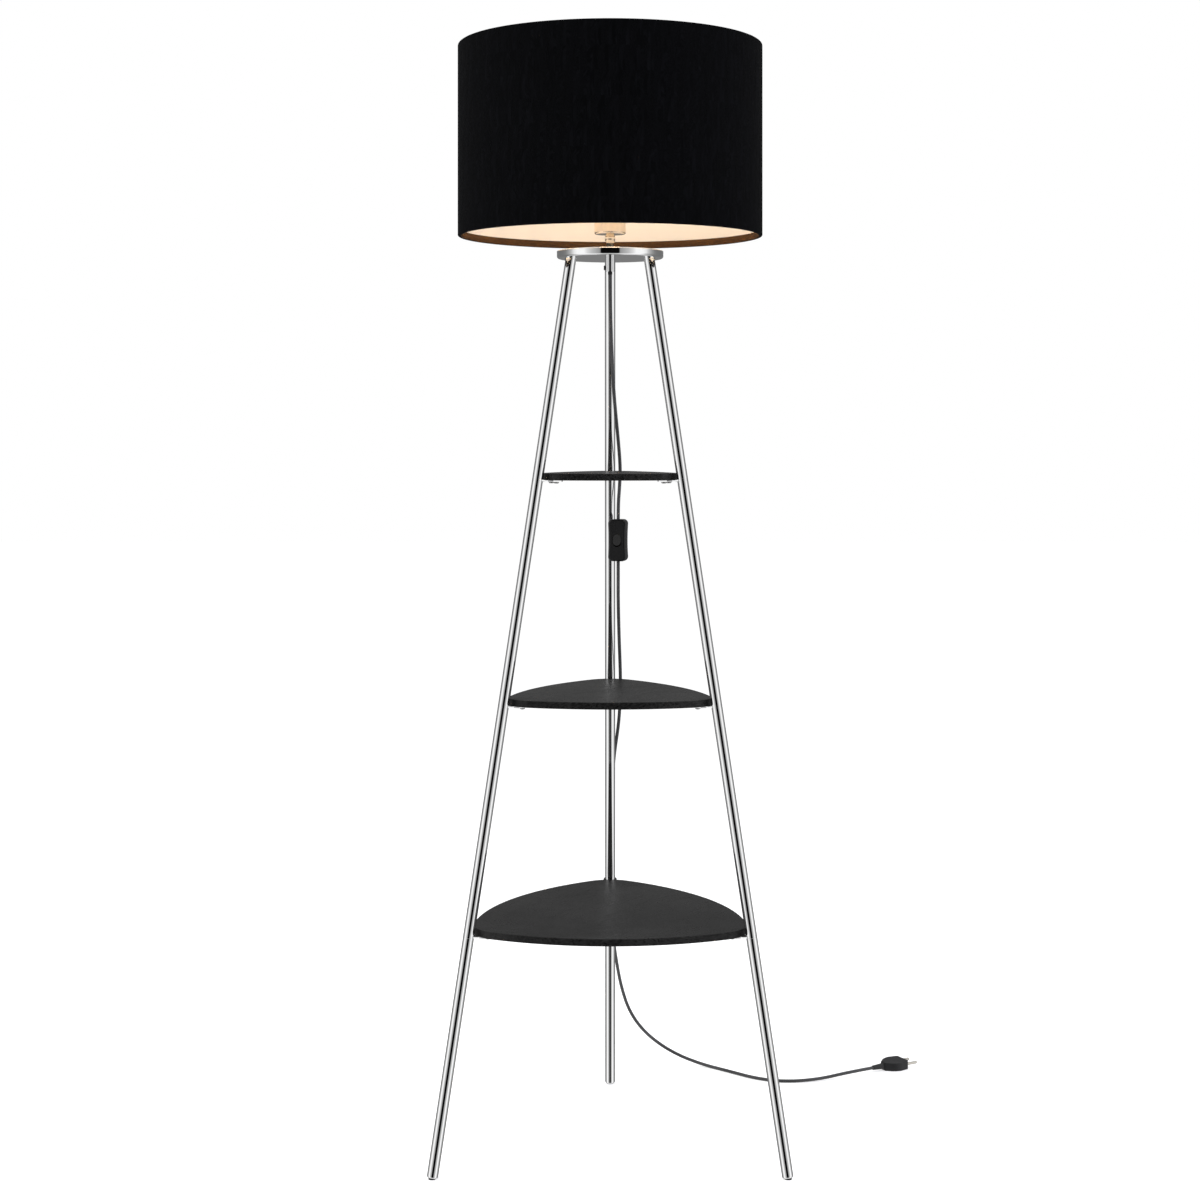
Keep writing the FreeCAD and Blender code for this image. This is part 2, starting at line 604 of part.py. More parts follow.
def bulb():
    """A globe bulb with its screw cap and tip contact."""
    turned("bulb_tip", on_axis("cup_base + 33"), [
        ("0", "0"), ("2.8", "0"), ("3.4", "1"), ("9.5", "4"), ("0", "4")])
    turned("bulb_cap", on_axis("cup_base + 37"), [
        ("0", "0"), ("9.5", "0"), ("13.2", "3.2"), ("13.2", "25"), ("12.3", "25"), ("12.3", "6"),
        ("0", "6")])
    neck = "12.2"
    shoulder = 33                                   # where the neck's cone meets the globe
    rise = "28"
    centre = "(%s + (bulb_radius * cos(%d) - %s) / tan(%d) + bulb_radius * sin(%d))" % (
        rise, shoulder, neck, shoulder, shoulder)
    inner = "(bulb_radius - bulb_wall)"

    def globe(radius):
        return ("%s * cos(%d)" % (radius, shoulder), "%s - %s * sin(%d)" % (centre, radius, shoulder))

    turned("bulb_glass", on_axis("cup_base + 43"), [
        (neck, "0"), (neck, rise), globe("bulb_radius"), ("0", centre + " + bulb_radius"),
        ("0", centre + " + " + inner), globe(inner), (neck + " - bulb_wall", rise + " + 0.3"),
        (neck + " - bulb_wall", "0")], {2: ("bulb_radius", 1), 4: (inner, -1)})


# ---- shade ------------------------------------------------------------------------------------

def shade():
    """A drum of fabric turned in over two wire hoops, with a stiff lining inside it."""
    inside = "shade_radius - fabric_wall"
    hem_out = "shade_radius - hem_depth + fabric_wall"
    hem_in = "shade_radius - hem_depth"
    lining_in = "shade_radius - fabric_wall - lining_wall - 0.1"
    low = [(lining_in, "hem_height"), (lining_in + " - fabric_wall", "hem_height"), (hem_in, "5"),
           (hem_in, "0"), ("shade_radius - 0.6", "0"), ("shade_radius", "0.6")]
    high = [("shade_radius", "shade_height - 0.6"), ("shade_radius - 0.6", "shade_height"),
            (hem_in, "shade_height"), (hem_in, "shade_height - 5"),
            (lining_in + " - fabric_wall", "shade_height - hem_height"),
            (lining_in, "shade_height - hem_height"), (hem_out, "shade_height - 5.2"),
            (hem_out, "shade_height - fabric_wall"), (inside, "shade_height - fabric_wall"),
            (inside, "fabric_wall"), (hem_out, "fabric_wall"), (hem_out, "5.2")]
    fabric = turned("shade_fabric", on_axis("shade_base", 90), low + high)
    notch = draw(new_sketch(fabric, "XZ_Plane"), [
        (hem_in + " - 1", "fabric_wall"), (hem_in + " - 1", "hem_height + 1"),
        (lining_in, "hem_height + 1"), (lining_in, "fabric_wall")])
    around(fabric, pocket(fabric, notch, "2 * arm_radius + 1", True), 3)
    turned("shade_lining", on_axis("shade_base"), [
        (lining_in, "fabric_wall"), (inside + " - 0.1", "fabric_wall"),
        (inside + " - 0.1", "shade_height - fabric_wall"), (lining_in, "shade_height - fabric_wall")])


def hoop(label, height):
    """A ring of round wire that stiffens an edge of the shade."""
    ring = doc.addObject("Part::Torus", label)
    ring.Label = label
    ring.setExpression("Radius1", bound(
        "shade_radius - fabric_wall - lining_wall - 0.1 - hoop_wire"))
    ring.setExpression("Radius2", bound("hoop_wire"))
    ring.Placement = on_axis(height)
    return ring


def shade_carrier():
    """The lower hoop with three arms and the hub that the shade nuts clamp, all welded."""
    pieces = [hoop("carrier_hoop", "shade_base + fabric_wall + hoop_wire")]
    outer = doc.addObject("Part::Cylinder", "hub_disc")
    outer.setExpression("Radius", bound("hub_radius"))
    outer.setExpression("Height", bound("hub_sheet"))
    inner = doc.addObject("Part::Cylinder", "hub_hole")
    inner.setExpression("Radius", bound("sleeve_radius + 0.3"))
    inner.setExpression("Height", bound("hub_sheet"))
    hub = doc.addObject("Part::Cut", "hub")
    hub.Base = outer
    hub.Tool = inner
    hub.Placement = on_axis("cup_base + cup_height + nut_height")
    pieces.append(hub)
    out = size("shade_radius - fabric_wall - lining_wall - 0.1 - hoop_wire") - 1.2
    low = size("shade_base + fabric_wall + hoop_wire") + 0.4
    reach = size("hub_radius - 3.5")
    high = size("cup_base + cup_height + nut_height + hub_sheet / 2")
    for name, azimuth in LEGS.items():
        arm = doc.addObject("Part::Cylinder", "carrier_arm_" + name)
        arm.setExpression("Radius", bound("arm_radius"))
        start = Vector(out, 0, low)
        way = Vector(reach, 0, high) - start
        arm.Height = way.Length
        turn = Rotation(azimuth, 0, 0)
        arm.Placement = Placement(turn * start - Vector(0, size("axis_setback"), 0),
                                  turn * Rotation(Vector(0, 0, 1), way))
        pieces.append(arm)
    carrier = doc.addObject("Part::MultiFuse", "shade_carrier")
    carrier.Label = "shade_carrier"
    carrier.Shapes = pieces
    parts["shade_carrier"] = carrier


# ---- cord -------------------------------------------------------------------------------------

def rounded_route(route, label):
    """Straight runs joined by tangent arcs, as one wire, and the steepest bend printed."""
    shift = Vector(0, -size("axis_setback"), 0)
    points = [Vector(*point) + shift for point in route]
    edges = []
    radii = []
    start = points[0]
    for before, corner, after in zip(points, points[1:], points[2:]):
        back = before - corner
        ahead = after - corner
        turn = math.pi - back.getAngle(ahead)
        setback = 0.45 * min(back.Length, ahead.Length)
        radii.append(setback / math.tan(turn / 2))
        back.normalize()
        ahead.normalize()
        first = corner + back * setback
        last = corner + ahead * setback
        bisector = (back + ahead).normalize()
        centre = corner + bisector * math.hypot(radii[-1], setback)
        middle = centre - bisector * radii[-1]
        edges.append(Part.LineSegment(start, first).toShape())
        edges.append(Part.Arc(first, middle, last).toShape())
        start = last
    edges.append(Part.LineSegment(start, points[-1]).toShape())
    wire = Part.Wire(edges)
    print("%s: length %.1f, arc radii %s" % (label, wire.Length, [round(radius) for radius in radii]))
    return wire


def cord(label, route):
    """A round cord along its route."""
    path = rounded_route(route, label)
    start = path.Vertexes[0].Point
    way = path.Edges[0].tangentAt(path.Edges[0].FirstParameter)
    section = Part.Wire(Part.Circle(start, way, size("cord_radius")).toShape())
    feature = doc.addObject("Part::Feature", label)
    feature.Label = label
    feature.Shape = path.makePipeShell([section], True, False)
    expected = math.pi * size("cord_radius") ** 2 * path.Length
    if abs(feature.Shape.Volume / expected - 1) > 0.01:
        raise RuntimeError("%s: volume %.0f, expected %.0f" % (label, feature.Shape.Volume, expected))
    parts[label] = feature


def cord_clip():
    """A black clip that snaps on the back leg and holds the cord behind it."""
    place = on_leg(LEGS["back"], "clip_seat - clip_width / 2")
    clip = new_body("cord_clip", place)
    big = new_sketch(clip, "XY_Plane")
    draw_circle(big, "0", "0", "tube_radius + 2.2")
    pad(clip, big, "clip_width")
    small = new_sketch(clip, "XY_Plane")
    draw_circle(small, "clip_cord", "0", "cord_radius + 1.9")
    pad(clip, small, "clip_width")
    holes = new_sketch(clip, "XY_Plane")
    draw_circle(holes, "0", "0", "tube_radius + 0.05")
    draw_circle(holes, "clip_cord", "0", "cord_radius + 0.1")
    pocket(clip, holes, "clip_width", reverse=True)
    mouth = draw(new_sketch(clip, "XY_Plane"), [("-14", "-8"), ("-3.2", "-7"), ("-3.2", "7"), ("-14", "8")])
    pocket(clip, mouth, "clip_width", reverse=True)
    slit = draw(new_sketch(clip, "XY_Plane"), [
        ("clip_cord", "-1.9"), ("clip_cord + 6", "-2.6"), ("clip_cord + 6", "2.6"),
        ("clip_cord", "1.9")])
    pocket(clip, slit, "clip_width", reverse=True)
    keep(clip)


# ---- inline switch ----------------------------------------------------------------------------

def switch_place(tilt=0, offset=Vector(0, 0, 0)):
    """The switch's frame: front towards -Y, cord along Z."""
    spot = Vector(size("switch_x"), size("switch_y") - size("axis_setback"), size("switch_z"))
    turn = Rotation(Vector(0, 0, 1), size("switch_yaw"))
    return Placement(spot + turn * offset, turn * Rotation(Vector(1, 0, 0), tilt))


def switch_outline():
    """The switch's front view: rounded ends and sides drawn in a little."""
    side = "switch_half"
    long = "switch_long"
    corners = [("6 - %s" % side, "-" + long), (side + " - 6", "-" + long), (side, "6 - " + long),
               (side, long + " - 6"), (side + " - 6", long), ("6 - %s" % side, long),
               ("-" + side, long + " - 6"), ("-" + side, "6 - " + long)]
    arcs = {1: ("6", 1), 3: ("6", 1), 5: ("6", 1), 7: ("6", 1), 2: ("320", -1), 6: ("320", -1)}
    return corners, arcs


def switch_half_shell(label, front):
    """One half of the housing, hollow, with screw posts."""
    body = new_body(label, switch_place())
    corners, arcs = switch_outline()
    pad(body, draw(new_sketch(body, "XZ_Plane"), corners, arcs), "switch_deep", reverse=not front)
    outer = -size("switch_deep") if front else size("switch_deep")
    soften(body, "Fillet", "2.6", lambda edge: abs(edge.BoundBox.YMin - outer) < 0.01
           and abs(edge.BoundBox.YMax - outer) < 0.01)
    hollow = draw(new_sketch(body, "XZ_Plane"), [
        ("3 - switch_half", "-16"), ("switch_half - 3", "-16"), ("switch_half - 3", "16"),
        ("3 - switch_half", "16")])
    pocket(body, hollow, "switch_deep - switch_wall", reverse=front)
    screws = new_sketch(body, "XZ_Plane")
    for height in ("-21", "21"):
        draw_circle(screws, "0", height, "1.25" if front else "1.5")
    pocket(body, screws, "6" if front else "20", reverse=front)
    for way in (1, -1):                         # the bores that take the cord's ends
        end = new_sketch(body, "XY_Plane", "%d * (switch_long - cord_bore)" % way)
        draw_circle(end, "0", "0", "cord_radius + fit_gap")
        pocket(body, end, "cord_bore + 2", reverse=way > 0)
    return body


def switch():
    """Housing, rocker, contacts and screws of the inline switch."""
    front = switch_half_shell("switch_front", True)
    window = new_sketch(front, "XZ_Plane")
    draw(window, stadium("6", "8.8"), STADIUM_ARCS("6"))
    pocket(front, window, "20", reverse=False, symmetric=True)
    for way in ("", "-"):                       # an ear with the trunnion's hole, each side
        ear = new_sketch(front, "YZ_Plane", way + "6.6" if way else "6.6")
        draw(ear, [("-pivot_depth - 2.6", "-2.6"), ("-pivot_depth + 2.4", "-2.6"),
                   ("-pivot_depth + 2.4", "2.6"), ("-pivot_depth - 2.6", "2.6")])
        pad(front, ear, "3", reverse=bool(way))
    bore = new_sketch(front, "YZ_Plane")
    draw_circle(bore, "-pivot_depth", "0", "pivot_radius + fit_gap")
    pocket(front, bore, "17.6", symmetric=True)
    keep(front)
    back = switch_half_shell("switch_back", False)
    heads = new_sketch(back, "XZ_Plane", "-switch_deep")
    for height in ("-21", "21"):
        draw_circle(heads, "0", height, "2.6")
    pocket(back, heads, "2", reverse=True)
    keep(back)
    rocker()
    screw = pattern_body(turned("switch_screw", Placement(), [
        ("0", "0"), ("2.4", "0"), ("2.4", "1.6"), ("1.2", "1.6"), ("1.2", "12"), ("0", "12.6")]))
    group("switch_screws", screw, [
        Placement(switch_place(offset=Vector(0, size("switch_deep") - 0.4, height)).Base,
                  switch_place().Rotation * Rotation(Vector(1, 0, 0), 90)) for height in (-21, 21)])
    strip = pattern_body(switch_contact())
    group("switch_contacts", strip, [
        switch_place(offset=Vector(0, 0, 0)),
        Placement(switch_place().Base, switch_place().Rotation * Rotation(Vector(0, 1, 0), 180))])


def stadium(radius, half):
    """Corners of an upright oval: half is half its length, radius half its width."""
    straight = "(%s - %s)" % (half, radius)
    return [(radius, "-" + straight), (radius, straight), ("0", half), ("-" + radius, straight),
            ("-" + radius, "-" + straight), ("0", "-" + half)]


def STADIUM_ARCS(radius):
    """The quarter arcs of that oval."""
    return {index: (radius, 1) for index in (1, 2, 4, 5)}


def rocker():
    """The rocker: an oval key with a shallow V face on two trunnions, resting on one side."""
    pivot = Vector(0, -size("pivot_depth"), 0)
    body = new_body("switch_rocker", switch_place(size("rocker_tilt"), pivot))
    key = draw(new_sketch(body, "XZ_Plane"), stadium("5.5", "7.7"), STADIUM_ARCS("5.5"))
    pad(body, key, "5.6")
    face = draw(new_sketch(body, "YZ_Plane"), [
        ("-8", "-9"), ("-5.6", "-9"), ("-4.7", "0"), ("-5.6", "9"), ("-8", "9")])
    pocket(body, face, "20", True)
    foot = new_sketch(body, "XZ_Plane")
    draw(foot, [("-3", "-2"), ("3", "-2"), ("3", "2"), ("-3", "2")])
    pad(body, foot, "2.4", reverse=True)
    axle = new_sketch(body, "YZ_Plane")
    draw_circle(axle, "0", "0", "pivot_radius")
    pad(body, axle, "15", True)
    keep(body)


def switch_contact():
    """A brass strip on the floor of the housing, bent up under the rocker."""
    body = new_body("switch_contact", Placement())
    side = draw(new_sketch(body, "YZ_Plane"), [
        ("switch_deep - switch_wall", "15"), ("switch_deep - switch_wall", "4.4"), ("3", "3.6"),
        ("3", "4.2"), ("switch_deep - switch_wall - 0.6", "4.9"),
        ("switch_deep - switch_wall - 0.6", "15")])
    pad(body, side, "4", True)
    return keep(body)


# ---- plug -------------------------------------------------------------------------------------

def plug():
    """A flat two-pin plug that lies on the floor at the cord's end."""
    end, before = Vector(*LOWER_ROUTE[-1]), Vector(*LOWER_ROUTE[-2])
    way = math.degrees(math.atan2(end.y - before.y, end.x - before.x))
    place = Placement(Vector(end.x, end.y - size("axis_setback"), size("plug_height")),
                      Rotation(way, 0, 0))
    body = new_body("plug_body", place)
    plan = [("18", "-5"), ("26", "-12.5"), ("40", "-17.3"), ("52", "-15"), ("54", "-13"),
            ("54", "13"), ("52", "15"), ("40", "17.3"), ("26", "12.5"), ("18", "5")]
    pad(body, draw(new_sketch(body, "XY_Plane"), plan, {1: ("34", 1), 7: ("34", 1)}), "13", True)
    soften(body, "Fillet", "2.4", lambda edge: edge.BoundBox.ZLength < 0.01
           and edge.BoundBox.XMax < 53.9)
    relief = new_sketch(body, "XZ_Plane")
    draw(relief, [("0", "0"), ("0", "3.2"), ("22", "4.6"), ("22", "0")])
    cone = body.newObject("PartDesign::Revolution", "strain_relief")
    cone.Profile = relief
    cone.ReferenceAxis = (relief, ["H_Axis"])
    cone.Angle = 360
    doc.recompute()
    holes = new_sketch(body, "YZ_Plane", "54")
    for way_out in ("", "-"):
        draw_circle(holes, way_out + "pin_pitch / 2", "0", "pin_radius - 0.3")
    pocket(body, holes, "12")
    keep(body)
    pin_shape = pattern_body(turned("plug_pin", Placement(), [
        ("0", "0"), ("pin_radius - 0.3", "0"), ("pin_radius - 0.3", "12.5"), ("pin_radius", "12.5"),
        ("pin_radius", "29.5"), ("pin_radius - 1.5", "31"), ("0", "31")], {4: ("1.5", 1)}))
    places = []
    for side in (-1, 1):
        spot = Vector(42, side * size("pin_pitch") / 2, 0)
        places.append(Placement(place.Base + place.Rotation * spot,
                                place.Rotation * Rotation(Vector(0, 1, 0), 90)))
    group("plug_pins", pin_shape, places)


# ---- the whole lamp ---------------------------------------------------------------------------

for leg_name, leg_azimuth in LEGS.items():
    leg_tubes(leg_name, leg_azimuth)
leg_hardware()
for shelf_level in range(3):
    shelf(shelf_level)
shelf_hardware()
top_plate()
stem()
lampholder()
shade_nut("shade_nut_lower", "cup_base + cup_height")
shade_nut("shade_nut_upper", "cup_base + cup_height + nut_height + hub_sheet")
bulb()
shade()
parts["shade_top_hoop"] = hoop("shade_top_hoop", "shade_base + shade_height - fabric_wall - hoop_wire")
shade_carrier()
cord("cord_upper", UPPER_ROUTE)
cord("cord_lower", LOWER_ROUTE)
cord_clip()
switch()
plug()
doc.recompute()

for item in doc.Objects:
    if "Invalid" in item.State or "Error" in item.State:
        raise RuntimeError("%s did not build" % item.Label)
for label, piece in parts.items():
    if piece.Shape.isNull() or not piece.Shape.isValid():
        raise RuntimeError("%s has no valid shape" % label)

os.makedirs("parts", exist_ok=True)
for label, piece in parts.items():
    piece.Shape.exportStep("parts/%s.step" % label)
print("%d nodes" % len(parts))
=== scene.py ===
import math

import bpy
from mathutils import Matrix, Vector


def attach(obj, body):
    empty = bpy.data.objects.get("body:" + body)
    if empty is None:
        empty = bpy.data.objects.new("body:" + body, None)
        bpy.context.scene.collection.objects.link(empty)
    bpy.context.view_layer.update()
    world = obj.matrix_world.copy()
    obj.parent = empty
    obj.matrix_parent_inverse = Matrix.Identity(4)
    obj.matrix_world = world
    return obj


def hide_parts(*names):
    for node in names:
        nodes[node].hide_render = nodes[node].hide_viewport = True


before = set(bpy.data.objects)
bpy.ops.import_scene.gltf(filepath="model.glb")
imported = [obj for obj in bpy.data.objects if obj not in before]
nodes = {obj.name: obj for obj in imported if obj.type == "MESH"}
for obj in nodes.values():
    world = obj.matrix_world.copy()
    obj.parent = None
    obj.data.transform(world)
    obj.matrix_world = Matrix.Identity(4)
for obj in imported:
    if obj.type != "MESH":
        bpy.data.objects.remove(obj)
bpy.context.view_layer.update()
scene = bpy.context.scene
scene.view_settings.view_transform = "Standard"
lampAxis = Vector((0, -0.03218, 0))      # where the lamp's upright axis stands
print("frame loaded:", len(nodes), "nodes")


def addObject(name, data):
    obj = bpy.data.objects.new(name, data)
    scene.collection.objects.link(obj)
    return obj


# camera

cameraSettings = {
    "place": (0, -2.83218, 0.950),
    "turn": (90, 0, 0),
    "lens": 63.84,
    "shift": (-0.00842, -0.1482),
}


def placeCamera(settings):
    data = bpy.data.cameras.new("camera")
    data.lens = settings["lens"]
    data.sensor_width = 36
    data.shift_x, data.shift_y = settings["shift"]
    data.clip_end = 60
    camera = addObject("camera", data)
    camera.location = settings["place"]
    camera.rotation_euler = [math.radians(angle) for angle in settings["turn"]]
    scene.camera = camera


placeCamera(cameraSettings)
print("camera placed")


# material helpers

def newMaterial(name, sockets):
    material = bpy.data.materials.new(name)
    material.use_nodes = True
    shader = material.node_tree.nodes["Principled BSDF"]
    for socket, value in sockets.items():
        shader.inputs[socket].default_value = value
    return material, material.node_tree, shader


def addNode(tree, kind, values=None, **settings):
    made = tree.nodes.new("ShaderNode" + kind)
    for key, value in settings.items():
        setattr(made, key, value)
    for socket, value in (values or {}).items():
        if isinstance(value, bpy.types.NodeSocket):
            tree.links.new(value, made.inputs[socket])
        else:
            made.inputs[socket].default_value = value
    return made


def objectPlace(tree, scale=(1, 1, 1), turn=(0, 0, 0), shift=(0, 0, 0)):
    place = addNode(tree, "TexCoord")
    return addNode(tree, "Mapping", {
        "Vector": place.outputs["Object"], "Scale": scale, "Location": shift,
        "Rotation": [math.radians(angle) for angle in turn]}).outputs["Vector"]


def noise(tree, vector, scale, detail=4, roughness=0.5):
    return addNode(tree, "TexNoise", {
        "Vector": vector, "Scale": scale, "Detail": detail, "Roughness": roughness}).outputs["Fac"]


def ramp(tree, factor, stops):
    made = addNode(tree, "ValToRGB", {"Fac": factor})
    points = made.color_ramp.elements
    while len(points) < len(stops):
        points.new(0.5)
    for point, (place, colour) in zip(points, stops):
        point.position = place
        point.color = (*colour, 1) if hasattr(colour, "__len__") else (colour, colour, colour, 1)
    return made.outputs["Color"]


def spread(tree, factor, low, high):
    return addNode(tree, "MapRange", {
        "Value": factor, "From Min": 0.3, "From Max": 0.7, "To Min": low, "To Max": high}).outputs["Result"]


def blendBy(tree, factor, first, second, kind="MIX"):
    made = addNode(tree, "Mix", data_type="RGBA", blend_type=kind)
    for socket, value in ((0, factor), (6, first), (7, second)):
        if isinstance(value, bpy.types.NodeSocket):
            tree.links.new(value, made.inputs[socket])
        else:
            made.inputs[socket].default_value = value
    return made.outputs[2]


def calculate(tree, operation, *values):
    made = addNode(tree, "Math", operation=operation)
    for socket, value in zip(made.inputs, values):
        if isinstance(value, bpy.types.NodeSocket):
            tree.links.new(value, socket)
        else:
            socket.default_value = value
    return made.outputs[0]


def bump(tree, shader, height, distance, strength=1.0, under=None):
    values = {"Height": height, "Distance": distance, "Strength": strength}
    if under is not None:
        values["Normal"] = under
    made = addNode(tree, "Bump", values)
    tree.links.new(made.outputs["Normal"], shader.inputs["Normal"])
    return made.outputs["Normal"]


def dress(material, *names):
    for name in names:
        slots = nodes[name].data.materials
        slots.clear()
        slots.append(material)


# cords

cordSettings = {
    "diameter": 0.0046,
    "upper": [
        (0, 0, 1144), (0, 0, 1120), (0.8, 4, 1086), (2.2, 21, 1037), (5.5, 48.5, 981), (11, 82, 926),
        (14.2, 106, 886), (12.6, 102.8, 858), (11, 96.5, 838), (11, 96.5, 814.5)],
    "lower": [
        (11, 96.5, 764.5), (11, 96.5, 740), (11, 106.5, 704), (12.5, 132, 648), (14.5, 154, 598),
        (14, 158.5, 560), (11.5, 174.5, 524), (6, 188, 486), (2.5, 198, 440), (0, 206.5, 380),
        (0, 214.6, 326.3), (0, 223.1, 276.6), (2.5, 237, 227), (8.5, 260, 178), (16, 290, 130),
        (29, 320, 84), (54, 341, 46), (92, 350, 17), (134, 341.5, 2.4), (174, 307, 2.4),
        (212, 271.5, 2.4), (254, 257.5, 2.4), (302, 266.5, 3.4), (345, 288, 6.5), (384, 310, 6.5)],
    "colour": (0.050, 0.050, 0.051, 1),
}


def cordFinish(settings):
    material, tree, shader = newMaterial("cordSheath", {"Specular IOR Level": 0.45})
    place = objectPlace(tree)
    fine = noise(tree, place, 900, 3)
    broad = noise(tree, place, 26, 2)
    dark = settings["colour"]
    light = [1.5 * part for part in dark[:3]] + [1]
    tree.links.new(blendBy(tree, spread(tree, broad, 0, 1), dark, light), shader.inputs["Base Color"])
    tree.links.new(spread(tree, fine, 0.38, 0.5), shader.inputs["Roughness"])
    bump(tree, shader, fine, 0.00008, 0.4)
    return material


def makeCord(name, route, settings):
    data = bpy.data.curves.new(name, "CURVE")
    data.dimensions = "3D"
    spline = data.splines.new("NURBS")
    spline.points.add(len(route) - 1)
    for point, place in zip(spline.points, route):
        point.co = (*(Vector(place) / 1000 + lampAxis), 1)
    spline.order_u = 3
    spline.use_endpoint_u = True
    spline.resolution_u = 12
    data.bevel_depth = settings["diameter"] / 2
    data.bevel_resolution = 5
    data.use_fill_caps = True
    data.materials.append(cordMaterial)
    return addObject(name, data)


cordMaterial = cordFinish(cordSettings)
upperCord = makeCord("upperCord", cordSettings["upper"], cordSettings)
lowerCord = makeCord("lowerCord", cordSettings["lower"], cordSettings)
for cordPiece, cadName in ((upperCord, "cord_upper"), (lowerCord, "cord_lower")):
    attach(cordPiece, "lamp")
    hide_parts(cadName)
print("cords laid")


# metals

chromeSettings = {"colour": (0.955, 0.957, 0.96, 1), "roughness": (0.02, 0.06)}


def chromeFinish(settings):
    material, tree, shader = newMaterial("polishedChrome", {"Metallic": 1.0})
    place = objectPlace(tree)
    smudge = noise(tree, place, 34, 5, 0.6)
    film = noise(tree, objectPlace(tree, (1, 1, 0.25)), 210, 3)
    shade = [0.965 * part for part in settings["colour"][:3]] + [1]
    tree.links.new(blendBy(tree, spread(tree, smudge, 0, 1), settings["colour"], shade),
                   shader.inputs["Base Color"])
    mixed = calculate(tree, "MULTIPLY", smudge, calculate(tree, "ADD", film, 0.5))
    tree.links.new(spread(tree, mixed, *settings["roughness"]), shader.inputs["Roughness"])
    bump(tree, shader, film, 0.00001, 0.12)
    return material


def metalFinish(name, colour, roughness, grain=260, stretch=(1, 1, 1), wear=0.75):
    material, tree, shader = newMaterial(name, {"Metallic": 1.0})
    place = objectPlace(tree, stretch)
    fine = noise(tree, place, grain, 4)
    broad = noise(tree, place, grain / 9, 4)
    worn = [wear * part for part in colour]
    tree.links.new(blendBy(tree, spread(tree, broad, 0, 1), (*colour, 1), (*worn, 1)),
                   shader.inputs["Base Color"])
    tree.links.new(spread(tree, fine, *roughness), shader.inputs["Roughness"])
    bump(tree, shader, fine, 0.00005, 0.25)
    return material


chromeMaterial = chromeFinish(chromeSettings)
steelMaterial = metalFinish("zincSteel", (0.50, 0.50, 0.49), (0.25, 0.42))
brassMaterial = metalFinish("brass", (0.78, 0.58, 0.28), (0.22, 0.38))
nickelMaterial = metalFinish("nickelPin", (0.72, 0.69, 0.63), (0.16, 0.3), 420)
# the cup, collar and pipe are chrome; their warm colour is a painted reflection of the bulb's warm light inside the
# shade
cupWarmReflectionMaterial = metalFinish("chromePaintedWarmReflection", (0.88, 0.775, 0.64), (0.05, 0.10), 90, (1, 1, 0.2), 0.93)
capMaterial = metalFinish("bulbCap", (0.78, 0.78, 0.76), (0.24, 0.4), 300, (1, 1, 6))
legNodes = ["leg_%s_tube_%d" % (side, part) for side in ("back", "left", "right") for part in (1, 2, 3, 4)]
dress(cupWarmReflectionMaterial, "holder_cup", "stem_collar", "threaded_pipe")
dress(chromeMaterial, "top_plate", "plate_washer",
      "cord_grip", "shelf_brackets", *legNodes)
dress(steelMaterial, "holder_nut", "leg_studs", "leg_bolts", "shelf_screws", "switch_screws")
dress(brassMaterial, "holder_shell", "holder_contact", "bulb_tip", "switch_contacts")
dress(nickelMaterial, "plug_pins")
dress(capMaterial, "bulb_cap")
print("metals finished")


# shelf boards

boardSettings = {
    "dark": (0.0015, 0.0015, 0.0015, 1),
    "light": (0.0215, 0.0210, 0.0206, 1),
    "grainTurn": -60,
    "roughness": (0.24, 0.42),
}


def boardFinish(settings):
    material, tree, shader = newMaterial("stainedBoard", {"Specular IOR Level": 0.25})
    turn = (0, 0, settings["grainTurn"])
    wander = noise(tree, objectPlace(tree, (1.2, 6, 6), turn), 3, 3)
    drift = calculate(tree, "MULTIPLY", wander, 0.12)
    place = addNode(tree, "VectorMath", {
        0: objectPlace(tree, (1, 1, 1), turn),
        1: addNode(tree, "CombineXYZ", {"Y": drift}).outputs[0]}, operation="ADD").outputs[0]
    streak = noise(tree, addNode(tree, "Mapping", {
        "Vector": place, "Scale": (2.2, 85, 85)}).outputs[0], 4.5, 7, 0.62)
    pores = noise(tree, addNode(tree, "Mapping", {
        "Vector": place, "Scale": (7, 330, 330)}).outputs[0], 4, 4, 0.7)
    cloud = noise(tree, place, 9, 3)
    grain = calculate(tree, "MULTIPLY", streak, calculate(tree, "ADD", cloud, 0.5))
    colour = ramp(tree, grain, [(0.38, settings["dark"][:3]), (0.62, settings["light"][:3])])
    pit = ramp(tree, pores, [(0.40, 0.35), (0.50, 1.0)])
    tree.links.new(blendBy(tree, 1.0, colour, pit, "MULTIPLY"), shader.inputs["Base Color"])
    tree.links.new(spread(tree, streak, *settings["roughness"]), shader.inputs["Roughness"])
    under = bump(tree, shader, pit, 0.00022, 0.5)
    bump(tree, shader, streak, 0.0004, 0.35, under)
    return material


boardMaterial = boardFinish(boardSettings)
dress(boardMaterial, "bottom_shelf", "middle_shelf", "top_shelf")
print("boards stained")


# plastics, ceramic and wire

def plasticFinish(name, colour, roughness, grain=700, depth=0.00006, specular=0.5):
    material, tree, shader = newMaterial(name, {"Specular IOR Level": specular})
    place = objectPlace(tree)
    fine = noise(tree, place, grain, 2)
    broad = noise(tree, place, 45, 4)
    worn = [1.35 * part + 0.001 for part in colour]
    tree.links.new(blendBy(tree, spread(tree, broad, 0, 1), (*colour, 1), (*worn, 1)),
                   shader.inputs["Base Color"])
    tree.links.new(spread(tree, broad, *roughness), shader.inputs["Roughness"])
    bump(tree, shader, fine, depth, 0.5)
    return material


